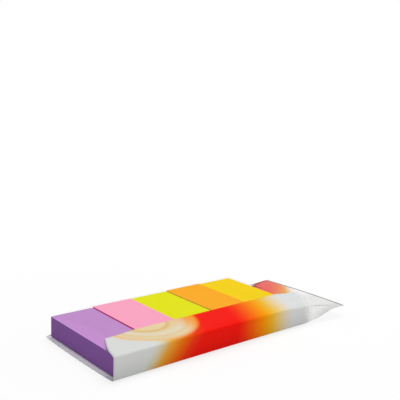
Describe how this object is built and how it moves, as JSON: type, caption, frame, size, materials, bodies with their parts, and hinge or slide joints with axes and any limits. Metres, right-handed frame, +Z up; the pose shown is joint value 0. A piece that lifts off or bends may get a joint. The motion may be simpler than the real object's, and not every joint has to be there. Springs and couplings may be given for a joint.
{
  "type": "sticky index tabs in a film sleeve",
  "caption": "Pads of sticky page-marker tabs in a row of bright colours, held in an open-ended clear film sleeve with a printed band and a welded end.",
  "frame": {"origin": "on the surface that the set lies on, under the middle of its bounding box", "axes": "+X along the row of pads towards the sleeve's welded end, +Y to the back, +Z up"},
  "size_m": [0.132, 0.0554, 0.0099],
  "materials": {
    "printed_film": "clear glossy film with a printed band of white, orange and red",
    "purple_paper": "matte coloured paper, edges darker than the face",
    "pink_paper": "matte coloured paper",
    "lime_paper": "matte coloured paper",
    "orange_paper": "matte coloured paper",
    "yellow_paper": "matte coloured paper"
  },
  "bodies": {
    "root": {"film_sleeve": "printed_film", "pad_purple": "purple_paper", "pad_pink": "pink_paper", "pad_lime": "lime_paper", "pad_orange": "orange_paper", "pad_yellow": "yellow_paper"}
  },
  "joints": []
}
